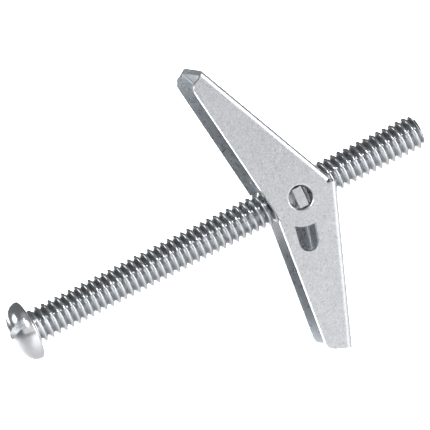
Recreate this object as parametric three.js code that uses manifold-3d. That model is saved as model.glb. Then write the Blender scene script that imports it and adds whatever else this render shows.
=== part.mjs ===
// Spring toggle bolt (butterfly wall anchor): a slotted round-head machine screw, a trunnion nut that runs
// along it, two sheet-metal wings hinged on the nut's end tabs, and the torsion spring that opens them.
// Millimetres. +X runs along the screw from head to tip, the hinge lies along Y, and the wings spread to +Z
// and -Z. The origin is on the screw's axis, in the plane of the head's flat underside.
import * as THREE from "three";
import { mergeVertices } from "three/addons/utils/BufferGeometryUtils.js";
import Module from "manifold-3d";

const wasm = await Module();
wasm.setup();

// Screw: 1/4-20 thread, 3 inch nominal length.
const PITCH = 1.27;
const MAJOR_RADIUS = 3.06;
const THREAD_DEPTH = 0.78;
const CREST_FLAT = 0.16;
const FLANK_ANGLE = THREE.MathUtils.degToRad(30);
const SCREW_LENGTH = 75;
const NECK_RADIUS = 3.1;
const NECK_LENGTH = 0.5;
const NECK_TAPER = 0.3;
const SHANK_IN_HEAD = 0.4;
const TIP_CHAMFER = 0.75;
const HEAD_RADIUS = 5.25;
const HEAD_HEIGHT = 3.65;
const HEAD_EDGE = 0.4;
// The dome is a little fuller than an ellipse, whose exponent is 1.
const DOME_EXPONENT = 0.93;
const SLOT_WIDTH = 1.3;
const SLOT_DEPTH = 2.4;
const SLOT_ANGLE = THREE.MathUtils.degToRad(-27);

// Hinge line, and the layers of metal stacked along it, from the near side (-Y) to the far side (+Y).
const PIVOT_X = 50.15;
const SHEET = 0.95;
const LAYER_GAP = 0.2;
const NUT_HALF_WIDTH = 3.7;
const NUT_SIDE_GAP = 0.15;
const WIRE = 0.55;
const COIL_TURNS = 2;
const COIL_GAP = 0.08;
const INNER_NEAR = -(NUT_HALF_WIDTH + NUT_SIDE_GAP + SHEET);
const OUTER_NEAR = INNER_NEAR - LAYER_GAP - SHEET;
const COIL_START = NUT_HALF_WIDTH + COIL_GAP;
const COIL_END = COIL_START + COIL_TURNS * WIRE;
const INNER_FAR = COIL_END + COIL_GAP + SHEET;
const OUTER_FAR = INNER_FAR + LAYER_GAP + SHEET;

// Trunnion nut: a thick strip across the screw with a drawn collar and a flat tab at each end.
const NUT_THICKNESS = 1.7;
const NUT_HEIGHT = 8.6;
const COLLAR_RADIUS = 3.7;
const COLLAR_LENGTH = 2.4;
const NUT_BORE = 3.2;
const TAB_HEIGHT = 3.5;
const TAB_RECESS = 0.25;

// Wings, in each wing's own frame: w runs out from the pivot and d across, from the open edge to the web.
const WING_LENGTH = 27.3;
const OPEN_TAPER = THREE.MathUtils.degToRad(7.75);
const WEB_START = -1.05;
// The lower wing's web is further from the pivot, and each wing's far cheek is the narrower one.
const UPPER_SIZES = {
  webDistance: 5.9,
  webTaper: THREE.MathUtils.degToRad(8.5),
  nearRadius: 5,
  farRadius: 4.75,
  backAngle: () => THREE.MathUtils.degToRad(-31),
};
const LOWER_SIZES = {
  webDistance: 7.05,
  webTaper: THREE.MathUtils.degToRad(7.75),
  nearRadius: 4.6,
  farRadius: 4,
  backAngle: (radius) => Math.asin(WEB_START / radius),
};
const TIP_CORNER = 1.7;
const TIP_SLANT = 0.55;
const BEND_RADIUS = 1.2;
const HOLE_RADIUS = 2.05;
const SLOT_REACH = 7.7;
const SLOT_END_RADIUS = 1.75;
const NOTCH_HALF_WIDTH = 3.4;
const NOTCH_REACH = 6.2;
const UPPER_LEAN = THREE.MathUtils.degToRad(16.8);
const LOWER_LEAN = THREE.MathUtils.degToRad(12);

// Torsion spring: a coil round the far tab and one leg along each wing.
const COIL_RADIUS = 2.4;
const LEG_START = 0.6;
const LEG_LENGTH = 13;
const LEG_TILT = THREE.MathUtils.degToRad(-1);

const ROUND_STEPS = 40;
const THREAD_STEPS = 12;
const WIRE_STEPS = 10;
// How far a cutting shape passes the surface that it cuts.
const CUT_MARGIN = 1;
const WELD_DISTANCE = 1e-4;

const zincScrew = new THREE.MeshStandardMaterial({ color: 0xb9bcc2, roughness: 0.22, metalness: 1 });
const zincNut = new THREE.MeshStandardMaterial({ color: 0xaeb1b8, roughness: 0.34, metalness: 1 });
const zincWing = new THREE.MeshStandardMaterial({ color: 0xc6c8ce, roughness: 0.38, metalness: 1 });
const springWire = new THREE.MeshStandardMaterial({ color: 0xa9acb0, roughness: 0.25, metalness: 1 });

// A closed three.js geometry as a solid that can be joined and cut.
function solid(geometry) {
  const bare = geometry.clone();
  bare.deleteAttribute("normal");
  bare.deleteAttribute("uv");
  const merged = mergeVertices(bare, WELD_DISTANCE);
  const vertProperties = new Float32Array(merged.attributes.position.array);
  const triVerts = new Uint32Array(merged.index.array);
  return new wasm.Manifold(new wasm.Mesh({ numProp: 3, vertProperties, triVerts }));
}

// The solid's surface as a three.js geometry.
function surface(body) {
  const mesh = body.getMesh();
  const geometry = new THREE.BufferGeometry();
  geometry.setAttribute("position", new THREE.BufferAttribute(new Float32Array(mesh.vertProperties), 3));
  geometry.setIndex(new THREE.BufferAttribute(new Uint32Array(mesh.triVerts), 1));
  geometry.computeVertexNormals();
  return geometry;
}

function named(name, body, material) {
  const mesh = new THREE.Mesh(surface(body), material);
  mesh.name = name;
  return mesh;
}

// A box from its lowest to its highest corner.
function block(low, high) {
  const size = high.map((value, i) => value - low[i]);
  const centre = high.map((value, i) => (value + low[i]) / 2);
  return solid(new THREE.BoxGeometry(...size).translate(...centre));
}

// A solid of revolution about the X axis; its profile is a list of [x, radius] from one end to the other.
function turned(profile, steps = ROUND_STEPS) {
  const points = profile.map(([x, radius]) => new THREE.Vector2(radius, x));
  return solid(new THREE.LatheGeometry(points, steps).rotateZ(-Math.PI / 2));
}

// A plate of an outline drawn with d across and w up, between two places along the hinge line.
function plate(outline, yLow, yHigh) {
  const geometry = new THREE.ExtrudeGeometry(outline, {
    depth: yHigh - yLow,
    bevelEnabled: false,
    curveSegments: ROUND_STEPS / 2,
  });
  return solid(geometry.rotateX(Math.PI / 2).translate(0, yHigh, 0));
}

// The thread as one helical skin of four lines a turn: root end, crest start, crest end, root start.
function threadedRod() {
  const flank = THREAD_DEPTH * Math.tan(FLANK_ANGLE);
  const root = MAJOR_RADIUS - THREAD_DEPTH;
  const section = [
    [0, root],
    [flank, MAJOR_RADIUS],
    [flank + CREST_FLAT, MAJOR_RADIUS],
    [2 * flank + CREST_FLAT, root],
  ];
  const steps = THREAD_STEPS;
  const turns = Math.ceil(SCREW_LENGTH / PITCH) + 2;
  const positions = [];
  const triangles = [];
  const lines = turns * section.length;
  for (let line = 0; line <= lines; line += 1) {
    const [shift, radius] = section[line % section.length];
    const lead = Math.floor(line / section.length) * PITCH + shift - PITCH;
    for (let step = 0; step < steps; step += 1) {
      const angle = (2 * Math.PI * step) / steps;
      const x = lead + (PITCH * step) / steps;
      positions.push(x, radius * Math.cos(angle), radius * Math.sin(angle));
    }
  }
  // The last point of a line's turn is the first point of the line one turn on.
  const vertex = (line, step) =>
    step < steps ? line * steps + step : (line + section.length) * steps;
  const lastLine = lines - section.length;
  for (let line = 0; line < lastLine; line += 1) {
    for (let step = 0; step < steps; step += 1) {
      const a = vertex(line, step);
      const b = vertex(line, step + 1);
      const c = vertex(line + 1, step + 1);
      const d = vertex(line + 1, step);
      triangles.push(a, b, c, a, c, d);
    }
  }
  // Each end is closed by a fan from the axis to the open edge of the skin.
  const closeEnd = (line, flip) => {
    const rim = [];
    for (let step = 0; step <= steps; step += 1) {
      rim.push(vertex(line, step));
    }
    for (let back = section.length - 1; back > 0; back -= 1) {
      rim.push(vertex(line + back, 0));
    }
    const centre = positions.length / 3;
    const middle = positions[vertex(line, 0) * 3] + PITCH / 2;
    positions.push(middle, 0, 0);
    rim.forEach((first, i) => {
      const second = rim[(i + 1) % rim.length];
      triangles.push(centre, flip ? first : second, flip ? second : first);
    });
  };
  closeEnd(0, false);
  closeEnd(lastLine, true);
  const geometry = new THREE.BufferGeometry();
  geometry.setAttribute("position", new THREE.Float32BufferAttribute(positions, 3));
  geometry.setIndex(triangles);
  return solid(geometry);
}

function screwHead() {
  const profile = [[0, 0], [0, HEAD_RADIUS - HEAD_EDGE]];
  const arcSteps = 3;
  for (let i = 1; i <= arcSteps; i += 1) {
    const turn = (Math.PI / 2) * (i / arcSteps);
    const x = -HEAD_EDGE * (1 - Math.cos(turn));
    profile.push([x, HEAD_RADIUS - HEAD_EDGE * (1 - Math.sin(turn))]);
  }
  const domeSteps = 9;
  for (let i = 1; i <= domeSteps; i += 1) {
    const turn = (Math.PI / 2) * (i / domeSteps);
    const x = -HEAD_EDGE - (HEAD_HEIGHT - HEAD_EDGE) * Math.sin(turn) ** DOME_EXPONENT;
    profile.push([x, i === domeSteps ? 0 : HEAD_RADIUS * Math.cos(turn) ** DOME_EXPONENT]);
  }
  profile.reverse();
  const floor = -HEAD_HEIGHT + SLOT_DEPTH;
  const slotBox = new THREE.BoxGeometry(2 * SLOT_DEPTH, 4 * HEAD_RADIUS, SLOT_WIDTH);
  slotBox.translate(floor - SLOT_DEPTH, 0, 0).rotateX(SLOT_ANGLE);
  return turned(profile).subtract(solid(slotBox));
}

// The thread runs in from the neck over one thread depth, and ends in a chamfer at the tip.
function machineScrew() {
  const core = MAJOR_RADIUS - THREAD_DEPTH;
  const runIn = NECK_LENGTH - NECK_TAPER;
  const clear = MAJOR_RADIUS + NECK_TAPER;
  const envelope = turned([
    [-SHANK_IN_HEAD, 0],
    [-SHANK_IN_HEAD, core],
    [runIn, core],
    [runIn + clear - core, clear],
    [SCREW_LENGTH - TIP_CHAMFER - NECK_TAPER, clear],
    [SCREW_LENGTH, MAJOR_RADIUS - TIP_CHAMFER],
    [SCREW_LENGTH, 0],
  ]);
  const neck = turned([
    [-SHANK_IN_HEAD, 0],
    [-SHANK_IN_HEAD, NECK_RADIUS],
    [NECK_LENGTH, NECK_RADIUS],
    [NECK_LENGTH + NECK_TAPER, NECK_RADIUS - NECK_TAPER],
    [NECK_LENGTH + NECK_TAPER, 0],
  ]);
  const shank = threadedRod().intersect(envelope);
  return named("machine_screw", shank.add(neck).add(screwHead()), zincScrew);
}

// Built about the pivot, then moved to its place on the screw.
function trunnionNut() {
  const half = NUT_THICKNESS / 2;
  const strip = block([-half, -NUT_HALF_WIDTH, -NUT_HEIGHT / 2], [half, NUT_HALF_WIDTH, NUT_HEIGHT / 2]);
  const tabs = block(
    [-half, OUTER_NEAR + TAB_RECESS, -TAB_HEIGHT / 2],
    [half, OUTER_FAR - TAB_RECESS, TAB_HEIGHT / 2],
  );
  const front = -half - COLLAR_LENGTH;
  const collar = turned([[front, 0], [front, COLLAR_RADIUS], [0, COLLAR_RADIUS], [0, 0]]);
  const boreStart = front - CUT_MARGIN;
  const boreEnd = half + CUT_MARGIN;
  const bore = turned([[boreStart, 0], [boreStart, NUT_BORE], [boreEnd, NUT_BORE], [boreEnd, 0]]);
  return named("trunnion_nut", strip.add(tabs).add(collar).subtract(bore), zincNut);
}

const openEdge = (w, radius) => w * Math.tan(OPEN_TAPER) - radius / Math.cos(OPEN_TAPER);
const webLine = (w, { webDistance, webTaper }, depth) =>
  (webDistance - depth) / Math.cos(webTaper) - w * Math.tan(webTaper);

// A cheek's outline: round about the pivot, tapering to a slanted tip with one rounded corner.
function cheekOutline(sizes, radius) {
  const tip = WING_LENGTH;
  const corner = tip - TIP_SLANT;
  const outline = new THREE.Shape();
  outline.moveTo(webLine(WEB_START, sizes, 0), WEB_START);
  outline.lineTo(webLine(tip, sizes, 0), tip);
  outline.lineTo(openEdge(corner, radius) + TIP_CORNER, corner);
  outline.quadraticCurveTo(
    openEdge(corner, radius),
    corner,
    openEdge(corner - TIP_CORNER, radius),
    corner - TIP_CORNER,
  );
  const tangent = Math.PI - OPEN_TAPER;
  outline.absarc(0, 0, radius, tangent, 2 * Math.PI + sizes.backAngle(radius), false);
  outline.lineTo(webLine(WEB_START, sizes, SHEET), WEB_START);
  return outline;
}

function roundHole() {
  const hole = new THREE.Shape();
  hole.absarc(0, 0, HOLE_RADIUS, 0, 2 * Math.PI, false);
  return hole;
}

// The slot tapers from the pivot hole to its smaller outer end.
function taperedSlot() {
  const slot = new THREE.Shape();
  slot.absarc(0, 0, HOLE_RADIUS, Math.PI, 2 * Math.PI, false);
  slot.absarc(0, SLOT_REACH, SLOT_END_RADIUS, 0, Math.PI, false);
  return slot;
}

// The U section is rounded at its two bends, along the whole back of the wing.
function bentBack(yLow, yHigh, { webDistance, webTaper }) {
  const section = new THREE.Shape();
  const depth = 3 * webDistance;
  section.moveTo(-depth, yLow);
  section.lineTo(-BEND_RADIUS, yLow);
  section.absarc(-BEND_RADIUS, yLow + BEND_RADIUS, BEND_RADIUS, -Math.PI / 2, 0, false);
  section.absarc(-BEND_RADIUS, yHigh - BEND_RADIUS, BEND_RADIUS, 0, Math.PI / 2, false);
  section.lineTo(-depth, yHigh);
  const length = 3 * WING_LENGTH;
  const bar = new THREE.ExtrudeGeometry(section, { depth: length, bevelEnabled: false, curveSegments: 5 });
  bar.translate(webDistance, 0, -length / 2).rotateY(-webTaper);
  return solid(bar);
}

// A wing's two cheeks lie at its low and high y faces, each with its own pivot round and opening. The two
// halves of the solid overlap in the middle, where only the web is left once the inside is cut out.
function wing(name, sizes, lowCheek, highCheek) {
  const low = plate(cheekOutline(sizes, lowCheek.radius), lowCheek.y, CUT_MARGIN);
  const high = plate(cheekOutline(sizes, highCheek.radius), -CUT_MARGIN, highCheek.y);
  const full = low.add(high).intersect(bentBack(lowCheek.y, highCheek.y, sizes));
  const reach = 2 * WING_LENGTH;
  const hollow = new THREE.Shape();
  hollow.moveTo(webLine(-reach, sizes, SHEET), -reach);
  hollow.lineTo(webLine(reach, sizes, SHEET), reach);
  hollow.lineTo(-reach, reach);
  hollow.lineTo(-reach, -reach);
  const inside = plate(hollow, lowCheek.y + SHEET, highCheek.y - SHEET);
  const lowHole = plate(lowCheek.opening, lowCheek.y - CUT_MARGIN, 0);
  const holes = lowHole.add(plate(highCheek.opening, 0, highCheek.y + CUT_MARGIN));
  const pivotEnd = [0, -NOTCH_HALF_WIDTH, -reach];
  const notch = block(pivotEnd, [reach, NOTCH_HALF_WIDTH, NOTCH_REACH - NOTCH_HALF_WIDTH]);
  const round = new THREE.CylinderGeometry(NOTCH_HALF_WIDTH, NOTCH_HALF_WIDTH, reach, ROUND_STEPS);
  round.rotateZ(Math.PI / 2).translate(reach / 2, 0, NOTCH_REACH - NOTCH_HALF_WIDTH);
  const channel = full.subtract(inside).subtract(holes);
  return named(name, channel.subtract(notch).subtract(solid(round)), zincWing.clone());
}

// The coil as one ring with the outer shape of its turns, which lie side by side along the hinge line.
function springCoil() {
  const half = WIRE / 2;
  const profile = [];
  const bumpSteps = 4;
  for (let turn = 0; turn < COIL_TURNS; turn += 1) {
    for (let i = 0; i <= bumpSteps; i += 1) {
      const angle = Math.PI * (i / bumpSteps);
      const y = COIL_START + WIRE * turn + half - half * Math.cos(angle);
      profile.push(new THREE.Vector2(COIL_RADIUS + half * Math.sin(angle), y));
    }
  }
  const inner = COIL_RADIUS - half;
  profile.push(new THREE.Vector2(inner, COIL_END - half), new THREE.Vector2(inner, COIL_START + half));
  profile.push(profile[0].clone());
  return named("torsion_spring_coil", solid(new THREE.LatheGeometry(profile, ROUND_STEPS)), springWire);
}

// A leg lies along its wing, inside the channel, clear of the coil that it continues in the real wire.
function springLeg(name, y) {
  const geometry = new THREE.CylinderGeometry(WIRE / 2, WIRE / 2, LEG_LENGTH, WIRE_STEPS);
  geometry.rotateX(Math.PI / 2).translate(0, 0, LEG_START + LEG_LENGTH / 2);
  geometry.rotateY(LEG_TILT).translate(COIL_RADIUS + WIRE, y, 0);
  return named(name, solid(geometry), springWire);
}

// Upper and lower wing groups turn about the hinge line; the lower one is turned over about the screw.
function hinged(lean, turnedOver, ...meshes) {
  const group = new THREE.Group();
  group.rotation.set(turnedOver ? Math.PI : 0, -lean, 0);
  group.add(...meshes);
  return group;
}

const upperWing = wing(
  "upper_wing",
  UPPER_SIZES,
  { y: OUTER_NEAR, radius: UPPER_SIZES.nearRadius, opening: roundHole() },
  { y: OUTER_FAR, radius: UPPER_SIZES.farRadius, opening: roundHole() },
);
// The lower wing is made upright and turned over, so its near cheek is the high one.
const lowerWing = wing(
  "lower_wing",
  LOWER_SIZES,
  { y: -INNER_FAR, radius: LOWER_SIZES.farRadius, opening: roundHole() },
  { y: -INNER_NEAR, radius: LOWER_SIZES.nearRadius, opening: taperedSlot() },
);
const upperLeg = springLeg("spring_upper_leg", COIL_START + WIRE / 2);
const lowerLeg = springLeg("spring_lower_leg", -(COIL_END - WIRE / 2));

const hinge = new THREE.Group();
hinge.position.set(PIVOT_X, 0, 0);
hinge.add(trunnionNut(), springCoil());
hinge.add(hinged(UPPER_LEAN, false, upperWing, upperLeg));
hinge.add(hinged(LOWER_LEAN, true, lowerWing, lowerLeg));

const toggleBolt = new THREE.Group();
toggleBolt.add(machineScrew(), hinge);

export default toggleBolt;
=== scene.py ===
import math
from collections import namedtuple

import bmesh
import bpy
from mathutils import Matrix, Vector


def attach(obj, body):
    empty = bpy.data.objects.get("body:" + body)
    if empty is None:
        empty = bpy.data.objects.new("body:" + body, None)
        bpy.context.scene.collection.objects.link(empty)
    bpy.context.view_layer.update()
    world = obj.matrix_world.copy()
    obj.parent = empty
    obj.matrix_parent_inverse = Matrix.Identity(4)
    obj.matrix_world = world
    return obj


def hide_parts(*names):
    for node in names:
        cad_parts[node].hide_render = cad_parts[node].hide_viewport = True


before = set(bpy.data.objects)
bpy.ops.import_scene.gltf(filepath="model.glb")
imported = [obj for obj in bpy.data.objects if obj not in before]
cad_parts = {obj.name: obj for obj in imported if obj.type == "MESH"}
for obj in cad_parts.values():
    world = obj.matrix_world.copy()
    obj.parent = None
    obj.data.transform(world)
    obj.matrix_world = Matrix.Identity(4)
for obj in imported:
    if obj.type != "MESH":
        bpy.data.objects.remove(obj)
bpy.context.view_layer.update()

# Lengths below are in millimetres, in the frame of the part, and pieces are scaled to metres when made.
MM = 0.001

# Screw
PITCH = 1.27
MAJOR_RADIUS = 3.05
THREAD_DEPTH = 0.78
NECK_RADIUS = 3.0
NECK_LENGTH = 0.45
SCREW_LENGTH = 75
TIP_CHAMFER = 0.75
# The thread rises from the neck over this share of a pitch.
THREAD_RUN_IN = 0.4
HEAD_RADIUS = 5.25
HEAD_HEIGHT = 3.63
HEAD_EDGE = 0.4
# The dome is a little fuller than an ellipse, whose exponent is 1.
DOME_EXPONENT = 0.93
# The flat underside has one ring of points between the neck's fillet and the small round at its rim.
SEAT_RING = 3.6
SEAT_ROUND = 0.16
NECK_FILLET = 0.2
# Where the head's mesh hands over to the shank's.
SHANK_START = 0.4
SLOT_WIDTH = 1.3
SLOT_DEPTH = 2.4
SLOT_ANGLE = math.radians(-27)
SLOT_EDGE_ROUND = 0.11
TURN_STEPS = 72
# Where the thread's lines lie along one pitch, closer together at the crest.
THREAD_PHASES = [0, 0.07, 0.19, 0.32, 0.38, 0.44, 0.5, 0.56, 0.62, 0.68, 0.81, 0.93]

# Hinge stack
PIVOT_X = 50.15
SHEET = 0.95
LAYER_GAP = 0.2
NUT_HALF_WIDTH = 3.7
NUT_SIDE_GAP = 0.15
WIRE = 0.55
# The coil is two rows of wire side by side, a little over one turn in all.
COIL_ROWS = 2
COIL_GAP = 0.08
INNER_NEAR = -(NUT_HALF_WIDTH + NUT_SIDE_GAP + SHEET)
OUTER_NEAR = INNER_NEAR - LAYER_GAP - SHEET
COIL_START = NUT_HALF_WIDTH + COIL_GAP
COIL_END = COIL_START + COIL_ROWS * WIRE
INNER_FAR = COIL_END + COIL_GAP + SHEET
OUTER_FAR = INNER_FAR + LAYER_GAP + SHEET

# Nut
NUT_THICKNESS = 1.7
NUT_HEIGHT = 8.6
COLLAR_RADIUS = 3.7
COLLAR_LENGTH = 2.4
NUT_BORE = 3.2
TAB_HEIGHT = 3.5
TAB_RECESS = 0.25
NUT_CORNER = 0.9
COLLAR_EDGE = 0.35
NUT_EDGE_ROUND = 0.14

# Wings: w runs out from the pivot and d across, from the open edge to the web
WING_LENGTH = 27.3
OPEN_TAPER = math.radians(7.75)
WEB_START = -1.05
# back_angle gives where a pivot round of some radius ends at the back.
WingSizes = namedtuple("WingSizes", "web_distance web_taper back_angle")
UPPER_SIZES = WingSizes(5.9, math.radians(8.5), lambda radius: math.radians(-31))
LOWER_SIZES = WingSizes(7.05, math.radians(7.75), lambda radius: math.asin(WEB_START / radius))
UPPER_NEAR_RADIUS = 5.0
UPPER_FAR_RADIUS = 4.75
LOWER_NEAR_RADIUS = 4.6
LOWER_FAR_RADIUS = 4.0
TIP_CORNER = 1.7
TIP_SLANT = 0.55
BEND_RADIUS = 1.2
HOLE_ROLL = 0.32
CHEEK_EDGE_ROUND = 0.2
# The notch's cutter and the channel's bars run this far, well past the wing.
CUT_REACH = 40
BAR_REACH = 60
HOLE_RADIUS = 2.05
SLOT_REACH = 7.7
SLOT_END_RADIUS = 1.75
NOTCH_HALF_WIDTH = 3.4
NOTCH_REACH = 6.2
UPPER_LEAN = math.radians(16.8)
LOWER_LEAN = math.radians(12)

# Spring
COIL_RADIUS = 2.4
LEG_OFFSET = COIL_RADIUS + WIRE
LEG_REACH = 13.6
# The leg leaves the coil's circle for its own straight line over this length.
LEG_EASE = 3.0
LEG_TILT = math.radians(-1)
# Where the coil's wire starts to cross from the upper leg's row to the lower one's, and over what turn.
CROSSING_START = math.radians(110)
CROSSING_SPAN = math.radians(170)
# Each leg carries this much of the coil with it, and is a little thinner, so that it hides inside the coil.
LEG_TAIL = math.radians(74)
LEG_SHRINK = 0.004


# ---- mesh helpers ----

def mesh_object(name, bm):
    mesh = bpy.data.meshes.new(name)
    bm.to_mesh(mesh)
    bm.free()
    obj = bpy.data.objects.new(name, mesh)
    bpy.context.scene.collection.objects.link(obj)
    return obj


def discard(obj):
    mesh = obj.data
    bpy.data.objects.remove(obj)
    bpy.data.meshes.remove(mesh)


def apply_modifiers(obj):
    """Replaces the object's mesh by the one its modifiers make."""
    bpy.context.view_layer.update()
    graph = bpy.context.evaluated_depsgraph_get()
    made = bpy.data.meshes.new_from_object(obj.evaluated_get(graph))
    obj.modifiers.clear()
    old = obj.data
    obj.data = made
    bpy.data.meshes.remove(old)


def boolean(obj, tool, operation):
    change = obj.modifiers.new("cut", "BOOLEAN")
    change.object = tool
    change.operation = operation
    change.solver = "EXACT"
    apply_modifiers(obj)
    discard(tool)


def prism(name, outline, low, high, axis="y"):
    """A closed prism of a plane outline, between two places along an axis."""
    bm = bmesh.new()
    if axis == "y":
        bottom = [bm.verts.new((a, low, b)) for a, b in outline]
        top = [bm.verts.new((a, high, b)) for a, b in outline]
    elif axis == "z":
        bottom = [bm.verts.new((a, b, low)) for a, b in outline]
        top = [bm.verts.new((a, b, high)) for a, b in outline]
    else:
        bottom = [bm.verts.new((low, a, b)) for a, b in outline]
        top = [bm.verts.new((high, a, b)) for a, b in outline]
    bm.faces.new(bottom)
    bm.faces.new(list(reversed(top)))
    count = len(outline)
    for i in range(count):
        j = (i + 1) % count
        bm.faces.new((bottom[j], bottom[i], top[i], top[j]))
    bmesh.ops.recalc_face_normals(bm, faces=bm.faces)
    return mesh_object(name, bm)


def arc(cx, cy, radius, start, end, steps):
    return [
        (
            cx + radius * math.cos(start + (end - start) * i / steps),
            cy + radius * math.sin(start + (end - start) * i / steps),
        )
        for i in range(steps + 1)
    ]


def revolve(bm, profile, steps=TURN_STEPS):
    """Rings about the X axis for each (x, radius), where a radius of 0 is a single point."""
    rings = []
    for x, radius in profile:
        if radius <= 0:
            rings.append([bm.verts.new((x, 0, 0))])
            continue
        ring = []
        for i in range(steps):
            turn = 2 * math.pi * i / steps
            ring.append(bm.verts.new((x, radius * math.cos(turn), radius * math.sin(turn))))
        rings.append(ring)
    for first, second in zip(rings, rings[1:]):
        for i in range(steps):
            j = (i + 1) % steps
            if len(first) == 1:
                bm.faces.new((first[0], second[i], second[j]))
            elif len(second) == 1:
                bm.faces.new((first[j], first[i], second[0]))
            else:
                bm.faces.new((first[j], first[i], second[i], second[j]))
    return rings


def bevel_edges(obj, chosen, width, segments=2):
    """Rounds the edges that the test chosen(edge, middle) picks."""
    bm = bmesh.new()
    bm.from_mesh(obj.data)
    bm.edges.ensure_lookup_table()
    picked = []
    sharp = math.radians(32)
    for edge in bm.edges:
        if len(edge.link_faces) != 2:
            continue
        middle = (edge.verts[0].co + edge.verts[1].co) / 2
        if edge.calc_face_angle(0) > sharp and edge.is_convex and chosen(edge, middle):
            picked.append(edge)
    bmesh.ops.bevel(
        bm, geom=picked, offset=width, offset_type="OFFSET", segments=segments,
        profile=0.5, affect="EDGES", clamp_overlap=True,
    )
    bmesh.ops.remove_doubles(bm, verts=bm.verts, dist=1e-4)
    bmesh.ops.dissolve_degenerate(bm, edges=bm.edges, dist=1e-5)
    bm.to_mesh(obj.data)
    bm.free()


def clean(obj):
    """Welds and drops slivers that a cut leaves in flat faces."""
    bm = bmesh.new()
    bm.from_mesh(obj.data)
    bmesh.ops.remove_doubles(bm, verts=bm.verts, dist=2e-4)
    bmesh.ops.dissolve_limit(bm, angle_limit=math.radians(0.2), verts=bm.verts, edges=bm.edges)
    bm.to_mesh(obj.data)
    bm.free()


def mark_painted_shade(obj, is_inner):
    """Notes which points lie inside the channel, where the material paints shade."""
    mark = obj.data.attributes.new("inner", "FLOAT", "POINT")
    for point, value in zip(obj.data.vertices, mark.data):
        value.value = 1.0 if is_inner(point.co) else 0.0


def shade(obj, sharp_degrees=34):
    """Smooth shading that stays flat on flat faces and crisp at sharp edges."""
    bm = bmesh.new()
    bm.from_mesh(obj.data)
    for face in bm.faces:
        face.smooth = True
    limit = math.radians(sharp_degrees)
    for edge in bm.edges:
        edge.smooth = not (len(edge.link_faces) == 2 and edge.calc_face_angle(0) > limit)
    bm.to_mesh(obj.data)
    bm.free()
    weighted = obj.modifiers.new("normals", "WEIGHTED_NORMAL")
    weighted.keep_sharp = True
    weighted.weight = 50
    apply_modifiers(obj)


def finish_piece(obj, body, material, nodes=(), place=Matrix.Identity(4)):
    """Puts a piece made in millimetres in place, in metres, on its body."""
    obj.data.transform(Matrix.Scale(MM, 4) @ place)
    obj.data.materials.clear()
    obj.data.materials.append(material)
    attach(obj, body)
    if nodes:
        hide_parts(*nodes)
    return obj


# ---- materials ----

class Nodes:
    """A small helper to write a material's node tree."""

    def __init__(self, name):
        self.material = bpy.data.materials.new(name)
        self.material.use_nodes = True
        self.tree = self.material.node_tree
        self.tree.nodes.clear()

    def add(self, kind, **values):
        node = self.tree.nodes.new(kind)
        for key, value in values.items():
            if key in node.inputs:
                node.inputs[key].default_value = value
            else:
                setattr(node, key, value)
        return node

    def link(self, source, target):
        self.tree.links.new(source, target)

    def noise(self, vector, scale, detail=4.0, roughness=0.55, stretch=None):
        source = vector
        if stretch:
            mapping = self.add("ShaderNodeMapping")
            mapping.inputs["Scale"].default_value = stretch
            self.link(vector, mapping.inputs["Vector"])
            source = mapping.outputs["Vector"]
        node = self.add("ShaderNodeTexNoise")
        node.inputs["Scale"].default_value = scale
        node.inputs["Detail"].default_value = detail
        node.inputs["Roughness"].default_value = roughness
        self.link(source, node.inputs["Vector"])
        return node.outputs["Fac"]

    def ramp(self, source, stops):
        node = self.add("ShaderNodeValToRGB")
        elements = node.color_ramp.elements
        while len(elements) < len(stops):
            elements.new(0.5)
        for element, (place, colour) in zip(elements, stops):
            element.position = place
            element.color = (*colour, 1)
        self.link(source, node.inputs["Fac"])
        return node.outputs["Color"]

    def spread(self, source, low, high, from_low=0.3, from_high=0.7):
        node = self.add("ShaderNodeMapRange")
        node.inputs["From Min"].default_value = from_low
        node.inputs["From Max"].default_value = from_high
        node.inputs["To Min"].default_value = low
        node.inputs["To Max"].default_value = high
        self.link(source, node.inputs["Value"])
        return node.outputs["Result"]

    def mix(self, factor, first, second):
        node = self.add("ShaderNodeMix")
        node.data_type = "RGBA"
        if isinstance(factor, (int, float)):
            node.inputs["Factor"].default_value = factor
        else:
            self.link(factor, node.inputs["Factor"])
        for source, place in ((first, 6), (second, 7)):
            if isinstance(source, tuple):
                node.inputs[place].default_value = (*source, 1)
            else:
                self.link(source, node.inputs[place])
        return node.outputs[2]

    def bump(self, height, distance, strength=1.0, after=None):
        node = self.add("ShaderNodeBump")
        node.inputs["Strength"].default_value = strength
        node.inputs["Distance"].default_value = distance
        self.link(height, node.inputs["Height"])
        if after is not None:
            self.link(after, node.inputs["Normal"])
        return node.outputs["Normal"]

    def metal(self, colour, roughness, normal):
        shader = self.add("ShaderNodeBsdfPrincipled")
        shader.inputs["Metallic"].default_value = 1.0
        self.link(colour, shader.inputs["Base Color"])
        self.link(roughness, shader.inputs["Roughness"])
        self.link(normal, shader.inputs["Normal"])
        output = self.add("ShaderNodeOutputMaterial")
        self.link(shader.outputs["BSDF"], output.inputs["Surface"])
        return self.material


def wing_material():
    n = Nodes("wing_zinc_plate")
    place = n.add("ShaderNodeTexCoord").outputs["Object"]
    grain = n.noise(place, 3400, detail=3, roughness=0.65)
    mottle = n.noise(place, 1500, detail=3, roughness=0.6)
    cloud = n.noise(place, 110, detail=3)
    tone = n.ramp(grain, [(0.28, (0.52, 0.54, 0.57)), (0.72, (0.84, 0.85, 0.87))])
    tone = n.mix(n.spread(cloud, 0.0, 0.35), tone, (0.82, 0.83, 0.85))
    # Painted shade: points inside the channel take a flat darker grey in place of the shade that falls
    # inside it.
    inner = n.add("ShaderNodeAttribute", attribute_name="inner").outputs["Fac"]
    tone = n.mix(inner, tone, (0.66, 0.685, 0.71))
    rough = n.spread(mottle, 0.25, 0.36)
    normal = n.bump(mottle, 0.00002, 0.25)
    normal = n.bump(grain, 0.00002, 0.5, after=normal)
    return n.metal(tone, rough, normal)


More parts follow.
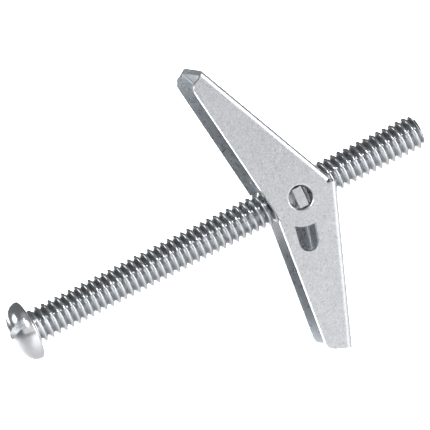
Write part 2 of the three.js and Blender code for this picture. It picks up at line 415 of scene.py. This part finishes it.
def screw_material():
    n = Nodes("screw_zinc_plate")
    place = n.add("ShaderNodeTexCoord").outputs["Object"]
    grain = n.noise(place, 3000, detail=3)
    cloud = n.noise(place, 500, detail=4)
    # Painted shade: the distance from the axis darkens the colour from the thread's crests down into its
    # roots.
    axes = n.add("ShaderNodeSeparateXYZ")
    n.link(place, axes.inputs["Vector"])
    across = n.add("ShaderNodeCombineXYZ")
    n.link(axes.outputs["Y"], across.inputs["Y"])
    n.link(axes.outputs["Z"], across.inputs["Z"])
    radius = n.add("ShaderNodeVectorMath", operation="LENGTH")
    n.link(across.outputs["Vector"], radius.inputs[0])
    root = n.spread(radius.outputs["Value"], 0.0, 1.0, 0.00225, 0.0031)
    crest = n.ramp(root, [(0.0, (0.42, 0.44, 0.46)), (0.45, (0.62, 0.64, 0.66)), (1.0, (0.8, 0.81, 0.83))])
    tone = n.mix(n.spread(cloud, 0.0, 0.25), crest, (0.5, 0.52, 0.54))
    rough = n.spread(cloud, 0.16, 0.26)
    normal = n.bump(grain, 0.00001, 0.4)
    return n.metal(tone, rough, normal)


def nut_material():
    n = Nodes("nut_zinc_plate")
    place = n.add("ShaderNodeTexCoord").outputs["Object"]
    grain = n.noise(place, 2200, detail=4)
    shear = n.noise(place, 900, detail=3, stretch=(0.1, 1, 1))
    tone = n.ramp(grain, [(0.3, (0.56, 0.58, 0.6)), (0.7, (0.72, 0.73, 0.75))])
    rough = n.spread(shear, 0.25, 0.42)
    normal = n.bump(shear, 0.00003, 0.5)
    return n.metal(tone, rough, normal)


def wire_material():
    n = Nodes("spring_wire_steel")
    place = n.add("ShaderNodeTexCoord").outputs["Object"]
    grain = n.noise(place, 3000, detail=2)
    drawn = n.noise(place, 1500, detail=3, stretch=(1, 1, 0.08))
    tone = n.ramp(grain, [(0.3, (0.6, 0.61, 0.63)), (0.7, (0.76, 0.77, 0.79))])
    rough = n.spread(drawn, 0.16, 0.3)
    normal = n.bump(drawn, 0.000008, 0.5)
    return n.metal(tone, rough, normal)


def floor_material():
    n = Nodes("studio_floor")
    place = n.add("ShaderNodeTexCoord").outputs["Object"]
    tone = n.ramp(n.noise(place, 3, detail=2), [(0.3, (0.93, 0.93, 0.93)), (0.7, (0.95, 0.95, 0.95))])
    shader = n.add("ShaderNodeBsdfDiffuse")
    n.link(tone, shader.inputs["Color"])
    output = n.add("ShaderNodeOutputMaterial")
    n.link(shader.outputs["BSDF"], output.inputs["Surface"])
    return n.material


# ---- the screw ----

def thread_radius(phase):
    """The thread's radius at a place along one pitch, with a rounded crest and root."""
    root = MAJOR_RADIUS - THREAD_DEPTH
    share = abs((phase / PITCH) % 1.0 - 0.5) * 2
    crest_end, root_start = 0.36, 0.86
    crest_drop, root_rise = 0.15, 0.05
    if share < crest_end:
        return MAJOR_RADIUS - crest_drop * (share / crest_end) ** 2
    if share > root_start:
        return root + root_rise * ((1 - share) / (1 - root_start)) ** 2
    along = (share - crest_end) / (root_start - crest_end)
    top = MAJOR_RADIUS - crest_drop
    return top + (root + root_rise - top) * along


def smooth_step(value):
    value = min(1.0, max(0.0, value))
    return value * value * (3 - 2 * value)


def shank_radius(x, phase):
    run_in = smooth_step((x - NECK_LENGTH) / (THREAD_RUN_IN * PITCH))
    radius = NECK_RADIUS + (thread_radius(phase) - NECK_RADIUS) * run_in
    return min(radius, MAJOR_RADIUS - TIP_CHAMFER + (SCREW_LENGTH - x))


def add_shank(bm, steps=TURN_STEPS):
    """The neck and thread as a grid of helical lines, held between the neck and the tip's plane."""
    phases = THREAD_PHASES
    turns = math.ceil(SCREW_LENGTH / PITCH) + 3
    lines = []
    for line in range(turns * len(phases) + 1):
        lead = (line // len(phases) - 1 + phases[line % len(phases)]) * PITCH
        row = []
        for i in range(steps):
            lag = PITCH * i / steps
            x = min(SCREW_LENGTH, max(SHANK_START, lead - PITCH + lag))
            radius = shank_radius(x, x - lag)
            turn = 2 * math.pi * i / steps
            row.append(bm.verts.new((x, radius * math.cos(turn), radius * math.sin(turn))))
        lines.append(row)
    span = len(phases)
    for line in range(len(lines) - 1 - span):
        for i in range(steps):
            if i + 1 < steps:
                following, above = lines[line][i + 1], lines[line + 1][i + 1]
            else:
                following, above = lines[line + span][0], lines[line + 1 + span][0]
            corners = [lines[line][i], following, above, lines[line + 1][i]]
            spread = max(c.co.x for c in corners) - min(c.co.x for c in corners)
            if spread > 1e-6:
                bm.faces.new(corners)


def head_profile():
    """From the neck ring, over the underside, rim and dome, to the top on the axis."""
    points = [(SHANK_START, NECK_RADIUS)]
    fillet_start, fillet_end = math.radians(270), math.radians(180)
    points += arc(NECK_FILLET, NECK_RADIUS + NECK_FILLET, NECK_FILLET, fillet_start, fillet_end, 4)
    points.append((0.0, SEAT_RING))
    rim = HEAD_RADIUS - HEAD_EDGE
    points += arc(-SEAT_ROUND, rim, SEAT_ROUND, 0, math.radians(50), 2)
    rim_steps = 8
    lift = 0.02
    for i in range(2, rim_steps + 1):
        turn = math.pi / 2 * i / rim_steps
        points.append((-HEAD_EDGE * (1 - math.cos(turn)) - lift, rim + HEAD_EDGE * math.sin(turn)))
    dome_steps = 18
    dome_height = HEAD_HEIGHT - HEAD_EDGE - lift
    for i in range(1, dome_steps + 1):
        turn = math.pi / 2 * i / dome_steps
        x = -HEAD_EDGE - lift - dome_height * math.sin(turn) ** DOME_EXPONENT
        radius = HEAD_RADIUS * math.cos(turn) ** DOME_EXPONENT
        points.append((x, 0.0 if i == dome_steps else radius))
    return points


def make_screw(material):
    bm = bmesh.new()
    rings = revolve(bm, head_profile())
    bm.faces.new(rings[0])
    bmesh.ops.recalc_face_normals(bm, faces=bm.faces)
    head = mesh_object("screw_head", bm)
    floor = -HEAD_HEIGHT + SLOT_DEPTH
    reach = 2 * HEAD_RADIUS
    half = SLOT_WIDTH / 2
    outline = [(-reach, -half), (-reach, half), (reach, half), (reach, -half)]
    tool = prism("slot_tool", outline, floor - reach, floor, axis="x")
    tool.data.transform(Matrix.Rotation(SLOT_ANGLE, 4, "X"))
    boolean(head, tool, "DIFFERENCE")
    across = Vector((0, -math.sin(SLOT_ANGLE), math.cos(SLOT_ANGLE)))

    def on_slot_rim(edge, middle):
        """Edges of the slot's walls, but none at the head's underside."""
        return abs(abs(middle.dot(across)) - half) < 0.01 and middle.x < floor + 1.2

    bevel_edges(head, on_slot_rim, SLOT_EDGE_ROUND, 2)
    bm = bmesh.new()
    bm.from_mesh(head.data)
    cap = [f for f in bm.faces if all(v.co.x > SHANK_START - 1e-4 for v in f.verts)]
    bmesh.ops.delete(bm, geom=cap, context="FACES_ONLY")
    add_shank(bm)
    bmesh.ops.remove_doubles(bm, verts=bm.verts, dist=1e-3)
    bmesh.ops.dissolve_degenerate(bm, edges=bm.edges, dist=1e-4)
    loose = [v for v in bm.verts if not v.link_faces]
    bmesh.ops.delete(bm, geom=loose, context="VERTS")
    ends = [e for e in bm.edges if len(e.link_faces) == 1 and e.verts[0].co.x > SCREW_LENGTH - 0.01]
    bmesh.ops.holes_fill(bm, edges=ends)
    bmesh.ops.recalc_face_normals(bm, faces=bm.faces)
    old = head.data
    head.data = bpy.data.meshes.new("machine_screw")
    bm.to_mesh(head.data)
    bm.free()
    bpy.data.meshes.remove(old)
    head.name = "machine_screw_detail"
    shade(head, 50)
    return finish_piece(head, "screw", material, ["machine_screw"])


# ---- the wings ----

def open_edge(w, radius):
    return w * math.tan(OPEN_TAPER) - radius / math.cos(OPEN_TAPER)


def web_line(w, sizes, depth):
    """The web's place across, at this depth under its outer face."""
    taper = sizes.web_taper
    return (sizes.web_distance - depth) / math.cos(taper) - w * math.tan(taper)


def cheek_outline(sizes, radius):
    tip, corner = WING_LENGTH, WING_LENGTH - TIP_SLANT
    start = (open_edge(corner, radius) + TIP_CORNER, corner)
    middle = (open_edge(corner, radius), corner)
    end = (open_edge(corner - TIP_CORNER, radius), corner - TIP_CORNER)
    points = [(web_line(WEB_START, sizes, 0), WEB_START), (web_line(tip, sizes, 0), tip)]
    steps = 8
    for i in range(steps + 1):
        t = i / steps
        points.append(tuple(
            (1 - t) ** 2 * start[k] + 2 * t * (1 - t) * middle[k] + t * t * end[k] for k in (0, 1)
        ))
    points += arc(0, 0, radius, math.pi - OPEN_TAPER, 2 * math.pi + sizes.back_angle(radius), 48)
    points.append((web_line(WEB_START, sizes, SHEET), WEB_START))
    return points


def round_hole():
    return arc(0, 0, HOLE_RADIUS, 0, 2 * math.pi * 63 / 64, 63)


def tapered_slot():
    lower = arc(0, 0, HOLE_RADIUS, math.pi, 2 * math.pi, 32)
    return lower + arc(0, SLOT_REACH, SLOT_END_RADIUS, 0, math.pi, 32)


def channel_section(low, high, radius, web):
    """Across the channel: open towards -d, with round corners of this radius at the web."""
    depth = 24
    points = [(web - depth, low), (web - radius, low)]
    points += arc(web - radius, low + radius, radius, -math.pi / 2, 0, 10)[1:]
    points += arc(web - radius, high - radius, radius, 0, math.pi / 2, 10)
    points.append((web - depth, high))
    return points


def channel_bar(name, low, high, radius, sizes, depth):
    section = channel_section(low, high, radius, sizes.web_distance - depth)
    bar = prism(name, section, -BAR_REACH, BAR_REACH, axis="z")
    bar.data.transform(Matrix.Rotation(-sizes.web_taper, 4, "Y"))
    return bar


def notch_outline():
    round_start = NOTCH_REACH - NOTCH_HALF_WIDTH
    points = [(-NOTCH_HALF_WIDTH, -CUT_REACH)]
    points += list(reversed(arc(0, round_start, NOTCH_HALF_WIDTH, 0, math.pi, 32)))
    points.append((NOTCH_HALF_WIDTH, -CUT_REACH))
    return points


def make_wing(name, sizes, low_cheek, high_cheek):
    """Each cheek is given by its outer face's y, its pivot radius and its opening."""
    low, low_radius, low_opening = low_cheek
    high, high_radius, high_opening = high_cheek
    overlap, past_face = 1, 2
    wing = prism(name, cheek_outline(sizes, low_radius), low, overlap)
    boolean(wing, prism("high_half", cheek_outline(sizes, high_radius), -overlap, high), "UNION")
    boolean(wing, channel_bar("outside", low, high, BEND_RADIUS, sizes, 0), "INTERSECT")
    inner_bend = BEND_RADIUS - SHEET + 0.1
    inside = channel_bar("inside", low + SHEET, high - SHEET, inner_bend, sizes, SHEET)
    boolean(wing, inside, "DIFFERENCE")
    boolean(wing, prism("low_hole", low_opening, low - past_face, 0), "DIFFERENCE")
    boolean(wing, prism("high_hole", high_opening, 0, high + past_face), "DIFFERENCE")
    boolean(wing, prism("notch", notch_outline(), 0, CUT_REACH, axis="x"), "DIFFERENCE")
    clean(wing)

    def on_outer_face(edge, middle):
        return middle.y < low + 0.01 or middle.y > high - 0.01

    def on_hole(edge, middle):
        near_hole = abs(math.hypot(middle.x, middle.z) - HOLE_RADIUS) < 0.03
        return near_hole and on_outer_face(edge, middle)

    bevel_edges(wing, on_hole, HOLE_ROLL, 4)
    bevel_edges(wing, on_outer_face, CHEEK_EDGE_ROUND, 3)
    shade(wing)
    # Points inside the channel are marked for the painted shade in the material.
    margin = SHEET - 0.05
    mark_painted_shade(wing, lambda co: (
        low + margin < co.y < high - margin and co.x < web_line(co.z, sizes, margin)
    ))
    return wing


def hinged(lean, turned_over):
    turn = Matrix.Rotation(-lean, 4, "Y")
    if turned_over:
        turn = Matrix.Rotation(math.pi, 4, "X") @ turn
    return Matrix.Translation((PIVOT_X, 0, 0)) @ turn


# ---- the nut ----

def make_nut(material):
    half = NUT_THICKNESS / 2
    top = NUT_HEIGHT / 2
    side = NUT_HALF_WIDTH
    tab = TAB_HEIGHT / 2
    near, far = OUTER_NEAR + TAB_RECESS, OUTER_FAR - TAB_RECESS
    corner = NUT_CORNER
    outline = [(near, -tab), (-side, -tab)]
    outline += arc(-side + corner, -top + corner, corner, math.pi, 1.5 * math.pi, 6)
    outline += arc(side - corner, -top + corner, corner, -math.pi / 2, 0, 6)
    outline += [(side, -tab), (far, -tab), (far, tab), (side, tab)]
    outline += arc(side - corner, top - corner, corner, 0, math.pi / 2, 6)
    outline += arc(-side + corner, top - corner, corner, math.pi / 2, math.pi, 6)
    outline += [(-side, tab), (near, tab)]
    nut = prism("trunnion_nut_detail", outline, -half, half, axis="x")
    bm = bmesh.new()
    front = -half - COLLAR_LENGTH
    inside_strip = 0.3
    profile = [(inside_strip, 0), (inside_strip, COLLAR_RADIUS), (-half, COLLAR_RADIUS)]
    profile += [(front + COLLAR_EDGE, COLLAR_RADIUS), (front, COLLAR_RADIUS - COLLAR_EDGE), (front, 0)]
    revolve(bm, profile)
    bmesh.ops.recalc_face_normals(bm, faces=bm.faces)
    boolean(nut, mesh_object("collar", bm), "UNION")
    bm = bmesh.new()
    revolve(bm, [(front - 1, 0), (front - 1, NUT_BORE), (half + 1, NUT_BORE), (half + 1, 0)])
    bmesh.ops.recalc_face_normals(bm, faces=bm.faces)
    boolean(nut, mesh_object("bore", bm), "DIFFERENCE")
    clean(nut)
    bevel_edges(nut, lambda edge, middle: True, NUT_EDGE_ROUND, 3)
    shade(nut)
    place = Matrix.Translation((PIVOT_X, 0, 0))
    return finish_piece(nut, "nut", material, ["trunnion_nut"], place)


# ---- the spring ----

def wire_mesh(name, path, radius, sides=16):
    """A round wire along a path, with rounded ends."""
    bm = bmesh.new()
    count = len(path)
    tangents = [
        (path[min(i + 1, count - 1)] - path[max(i - 1, 0)]).normalized() for i in range(count)
    ]
    normal = Vector((0, 1, 0)).cross(tangents[0]).normalized()
    rings = []
    for point, tangent in zip(path, tangents):
        normal = (normal - tangent * normal.dot(tangent)).normalized()
        other = tangent.cross(normal)
        rings.append((point, tangent, normal.copy(), other))

    def ring(point, normal, other, size):
        made = []
        for i in range(sides):
            turn = 2 * math.pi * i / sides
            made.append(bm.verts.new(point + (normal * math.cos(turn) + other * math.sin(turn)) * size))
        return made

    rows = []
    cap_steps, cap_length = 4, 0.7
    for i in range(1, cap_steps + 1):
        turn = math.pi / 2 * i / cap_steps
        point, tangent, side, other = rings[0]
        back = point - tangent * radius * cap_length * math.cos(turn)
        rows.append(ring(back, side, other, radius * math.sin(turn)))
    for point, tangent, side, other in rings[1:-1]:
        rows.append(ring(point, side, other, radius))
    for i in range(cap_steps, 0, -1):
        turn = math.pi / 2 * i / cap_steps
        point, tangent, side, other = rings[-1]
        ahead = point + tangent * radius * cap_length * math.cos(turn)
        rows.append(ring(ahead, side, other, radius * math.sin(turn)))
    for first, second in zip(rows, rows[1:]):
        for i in range(sides):
            j = (i + 1) % sides
            bm.faces.new((first[i], first[j], second[j], second[i]))
    bm.faces.new(list(reversed(rows[0])))
    bm.faces.new(rows[-1])
    bmesh.ops.recalc_face_normals(bm, faces=bm.faces)
    for face in bm.faces:
        face.smooth = True
    return mesh_object(name, bm)


UPPER_WIRE_Y = COIL_START + WIRE / 2
LOWER_WIRE_Y = COIL_END - WIRE / 2
WOUND = UPPER_LEAN + LOWER_LEAN + 2 * math.pi


def coil_point(turned):
    """A point on the coil, this far clockwise from where the upper leg leaves it.

    The wire crosses over in the middle of the turn, so that the legs' ends slide beside it.
    """
    angle = UPPER_LEAN - turned
    crossing = smooth_step((turned - CROSSING_START) / CROSSING_SPAN)
    y = UPPER_WIRE_Y + (LOWER_WIRE_Y - UPPER_WIRE_Y) * crossing
    return Vector((PIVOT_X + COIL_RADIUS * math.cos(angle), y, COIL_RADIUS * math.sin(angle)))


def leg_line(lean, over, y):
    """The leg from its tangent on the coil, out along the wing."""
    points = []
    steps = 40
    for i in range(steps + 1):
        w = LEG_REACH * i / steps
        line = LEG_OFFSET + math.sin(LEG_TILT) * w
        d = COIL_RADIUS + (line - COIL_RADIUS) * smooth_step(w / LEG_EASE)
        x = PIVOT_X - w * math.sin(lean) + d * math.cos(lean)
        z = w * math.cos(lean) + d * math.sin(lean)
        points.append(Vector((x, y, -z if over else z)))
    return points


def make_spring(material):
    steps = 150
    path = [coil_point(WOUND * i / steps) for i in range(steps + 1)]
    coil = wire_mesh("spring_coil_detail", path, WIRE / 2)
    finish_piece(coil, "nut", material, ["torsion_spring_coil"])
    steps = 20  # along a leg's share of the coil
    inner = [coil_point(LEG_TAIL * (1 - i / steps)) for i in range(steps)]
    upper = inner + leg_line(UPPER_LEAN, False, UPPER_WIRE_Y)
    leg = wire_mesh("spring_upper_leg_detail", upper, WIRE / 2 - LEG_SHRINK)
    finish_piece(leg, "upper_wing", material, ["spring_upper_leg"])
    inner = [coil_point(WOUND - LEG_TAIL * (1 - i / steps)) for i in range(steps)]
    lower = inner + leg_line(LOWER_LEAN, True, LOWER_WIRE_Y)
    leg = wire_mesh("spring_lower_leg_detail", lower, WIRE / 2 - LEG_SHRINK)
    finish_piece(leg, "lower_wing", material, ["spring_lower_leg"])


# ---- studio, in metres ----

FLOOR_HEIGHT = -0.25


def area_light(name, place, aim, size, power):
    data = bpy.data.lights.new(name, "AREA")
    data.shape = "RECTANGLE"
    data.size, data.size_y = size
    data.energy = power
    light = bpy.data.objects.new(name, data)
    light.location = place
    light.rotation_mode = "QUATERNION"
    light.rotation_quaternion = (Vector(aim) - Vector(place)).to_track_quat("-Z", "Y")
    bpy.context.scene.collection.objects.link(light)


def make_world():
    """A studio that is bright behind the camera and dark overhead, at the back and at both sides."""
    world = bpy.data.worlds.new("studio")
    bpy.context.scene.world = world
    world.use_nodes = True
    tree = world.node_tree
    tree.nodes.clear()
    place = tree.nodes.new("ShaderNodeTexCoord")
    axes = tree.nodes.new("ShaderNodeSeparateXYZ")
    tree.links.new(place.outputs["Generated"], axes.inputs["Vector"])
    ramp = tree.nodes.new("ShaderNodeValToRGB")
    # Brightness against height, from the horizon to overhead
    stops = [(0.0, 0.78), (0.25, 0.75), (0.42, 0.4), (0.55, 0.14), (0.8, 0.25), (1.0, 0.5)]
    elements = ramp.color_ramp.elements
    while len(elements) < len(stops):
        elements.new(0.5)
    for element, (position, level) in zip(elements, stops):
        element.position = position
        element.color = (level, level, level * 1.01, 1)
    tree.links.new(axes.outputs["Z"], ramp.inputs["Fac"])
    front = tree.nodes.new("ShaderNodeMapRange")
    front.interpolation_type = "SMOOTHSTEP"
    front_starts, front_full = -0.05, -0.4
    front.inputs["From Min"].default_value = front_starts
    front.inputs["From Max"].default_value = front_full
    tree.links.new(axes.outputs["Y"], front.inputs["Value"])
    mix = tree.nodes.new("ShaderNodeMix")
    mix.data_type = "RGBA"
    dark_side = (0.16, 0.165, 0.17, 1)
    mix.inputs[6].default_value = dark_side
    tree.links.new(front.outputs["Result"], mix.inputs["Factor"])
    tree.links.new(ramp.outputs["Color"], mix.inputs[7])
    background = tree.nodes.new("ShaderNodeBackground")
    background.inputs["Strength"].default_value = 1.0
    tree.links.new(mix.outputs[2], background.inputs["Color"])
    output = tree.nodes.new("ShaderNodeOutputWorld")
    tree.links.new(background.outputs["Background"], output.inputs["Surface"])


def floor_light(name, x, y, height, size, power):
    """A softbox over the floor, facing straight down."""
    area_light(name, (x, y, height), (x, y, FLOOR_HEIGHT), size, power)


def make_lights():
    centre = (0.04, 0, 0)
    area_light("key_softbox", (-0.5, -1.15, 0.85), centre, (0.6, 0.35), 9)
    area_light("front_card", (0.33, -1.25, -0.08), centre, (1.1, 0.34), 0.2)
    area_light("right_softbox", (1.0, -0.42, 0), centre, (0.8, 0.5), 3.6)
    area_light("left_card", (-0.95, 0.43, 0.6), (0, 0, 0), (0.45, 0.45), 1.8)
    floor_light("floor_fill", 0.3, -0.5, -0.1, (1.2, 0.8), 2.3)
    floor_light("backdrop_softbox", 0.3, 1.55, 0.12, (2.1, 1.4), 46)


def make_floor(material):
    bm = bmesh.new()
    size = 6.0
    corners = [(-size, -size), (size, -size), (size, size), (-size, size)]
    bm.faces.new([bm.verts.new((x, y, FLOOR_HEIGHT)) for x, y in corners])
    floor = mesh_object("studio_floor", bm)
    floor.data.materials.append(material)


def make_camera():
    yaw, rise = math.radians(12), math.radians(10)
    roll_to = math.radians(27.15)
    distance = 0.85
    pixel_scale, picture, sensor = 5.93, 430, 36.0
    aim = Vector((0.03676, 0, 0.00294))
    back = Vector((-math.sin(yaw) * math.cos(rise), -math.cos(yaw) * math.cos(rise), math.sin(rise)))
    forward = -back
    right = forward.cross(Vector((0, 0, 1))).normalized()
    up = right.cross(forward)
    screw_axis = Vector((1, 0, 0))
    roll = math.atan2(screw_axis.dot(up), screw_axis.dot(right)) - roll_to
    new_right = right * math.cos(roll) + up * math.sin(roll)
    new_up = up * math.cos(roll) - right * math.sin(roll)
    turn = Matrix((new_right, new_up, back)).transposed()
    data = bpy.data.cameras.new("camera")
    data.sensor_width = sensor
    data.lens = pixel_scale * distance / MM / picture * sensor
    data.clip_start, data.clip_end = 0.05, 50
    camera = bpy.data.objects.new("camera", data)
    camera.matrix_world = Matrix.Translation(aim + back * distance) @ turn.to_4x4()
    bpy.context.scene.collection.objects.link(camera)
    bpy.context.scene.camera = camera


def make_wings(material):
    upper = make_wing(
        "upper_wing_detail", UPPER_SIZES,
        (OUTER_NEAR, UPPER_NEAR_RADIUS, round_hole()), (OUTER_FAR, UPPER_FAR_RADIUS, round_hole()),
    )
    finish_piece(upper, "upper_wing", material, ["upper_wing"], hinged(UPPER_LEAN, False))
    lower = make_wing(
        "lower_wing_detail", LOWER_SIZES,
        (-INNER_FAR, LOWER_FAR_RADIUS, round_hole()), (-INNER_NEAR, LOWER_NEAR_RADIUS, tapered_slot()),
    )
    finish_piece(lower, "lower_wing", material, ["lower_wing"], hinged(LOWER_LEAN, True))


make_camera()
make_screw(screw_material())
make_wings(wing_material())
make_nut(nut_material())
make_spring(wire_material())
make_floor(floor_material())
make_world()
make_lights()
bpy.context.scene.view_settings.view_transform = "Standard"
